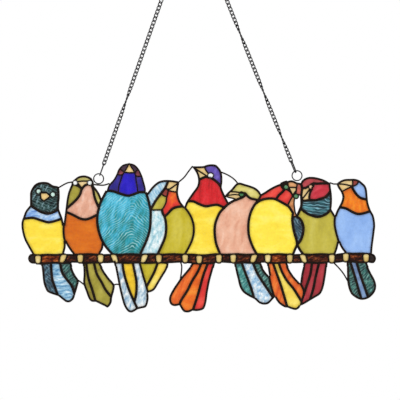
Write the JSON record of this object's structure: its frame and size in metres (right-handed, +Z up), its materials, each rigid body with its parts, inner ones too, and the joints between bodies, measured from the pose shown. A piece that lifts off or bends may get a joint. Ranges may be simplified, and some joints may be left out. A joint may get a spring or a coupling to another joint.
{
  "type": "stained glass window panel",
  "caption": "Hanging stained glass panel of finches side by side on a branch, cut glass panes in a web of solder, with side rings, two chains and a top ring.",
  "frame": {"origin": "the inside top of the top ring's eye, where a hook carries the panel", "axes": "+Z up along the plumb line, +X along the branch to the viewer's right, front face towards -Y"},
  "size_m": [0.621, 0.0074, 0.7112],
  "materials": {
    "teal_ripple_glass": "dark teal cathedral glass with a rippled face",
    "sky_wispy_glass": "light blue and white wispy opalescent glass",
    "ice_wispy_glass": "near-white glass with pale blue wisps and a granite face",
    "yellow_glass": "opalescent sheet glass, smooth and glossy",
    "olive_glass": "opalescent sheet glass, smooth and glossy",
    "burnt_orange_glass": "opalescent sheet glass, smooth and glossy",
    "pink_glass": "opalescent sheet glass, smooth and glossy",
    "turquoise_ripple_glass": "turquoise and green streaky glass with a rippled face",
    "cobalt_glass": "deep blue glass, smooth and glossy",
    "amber_glass": "opalescent sheet glass, smooth and glossy",
    "red_glass": "opalescent sheet glass, smooth and glossy",
    "violet_glass": "violet-blue glass, smooth and glossy",
    "orange_glass": "opalescent sheet glass, smooth and glossy",
    "crimson_glass": "opalescent sheet glass, smooth and glossy",
    "periwinkle_glass": "opalescent sheet glass, smooth and glossy",
    "bark_brown_glass": "dark brown mottled glass, glossy",
    "black_patina_solder": "solder beads with a black patina, softly glossy",
    "dark_steel_wire": "blackened steel wire, satin"
  },
  "bodies": {
    "root": {"branch_06": "bark_brown_glass", "branch_16": "bark_brown_glass", "chain_left": "dark_steel_wire", "chain_right": "dark_steel_wire", "end_link_left": "dark_steel_wire", "end_link_right": "dark_steel_wire", "finch1_body": "yellow_glass", "finch1_collar": "sky_wispy_glass", "finch1_head": "teal_ripple_glass", "finch1_tail_left": "teal_ripple_glass", "finch1_tail_middle": "ice_wispy_glass", "finch1_tail_right": "teal_ripple_glass", "finch2_body": "burnt_orange_glass", "finch2_cheek_left": "olive_glass", "finch2_tail_middle": "olive_glass", "finch2_tail_right": "olive_glass", "finch2_throat": "pink_glass", "finch3_body": "turquoise_ripple_glass", "finch3_face": "cobalt_glass", "finch3_tail_left": "ice_wispy_glass", "finch3_tail_middle": "amber_glass", "finch3_tail_right": "ice_wispy_glass", "finch4_body": "olive_glass", "finch4_tail_left": "olive_glass", "finch4_tail_right": "yellow_glass", "finch4_throat": "red_glass", "finch4_wing_lower": "ice_wispy_glass", "finch4_wing_upper": "sky_wispy_glass", "finch5_body": "yellow_glass", "finch5_breast": "red_glass", "finch5_crown": "violet_glass", "finch5_tail_left": "orange_glass", "finch5_tail_middle": "orange_glass", "finch5_tail_right": "red_glass", "finch6_body": "pink_glass", "finch6_head": "olive_glass", "finch6_tail_left": "teal_ripple_glass", "finch6_tail_middle": "sky_wispy_glass", "finch6_tail_right": "teal_ripple_glass", "finch7_back": "red_glass", "finch7_body": "yellow_glass", "finch7_tail_left": "orange_glass", "finch7_tail_middle": "yellow_glass", "finch7_tail_right": "orange_glass", "finch7_wing_tip": "teal_ripple_glass", "finch8_body": "olive_glass", "finch8_cheek": "crimson_glass", "finch8_collar": "teal_ripple_glass", "finch8_tail_left": "crimson_glass", "finch8_tail_middle": "crimson_glass", "finch8_tail_right": "crimson_glass", "finch9_body": "periwinkle_glass", "finch9_breast": "orange_glass", "finch9_tail_left": "teal_ripple_glass", "finch9_tail_middle": "periwinkle_glass", "finch9_tail_right": "teal_ripple_glass", "ring_left": "dark_steel_wire", "ring_right": "dark_steel_wire", "solder_web": "black_patina_solder", "top_ring": "dark_steel_wire"}
  },
  "joints": []
}
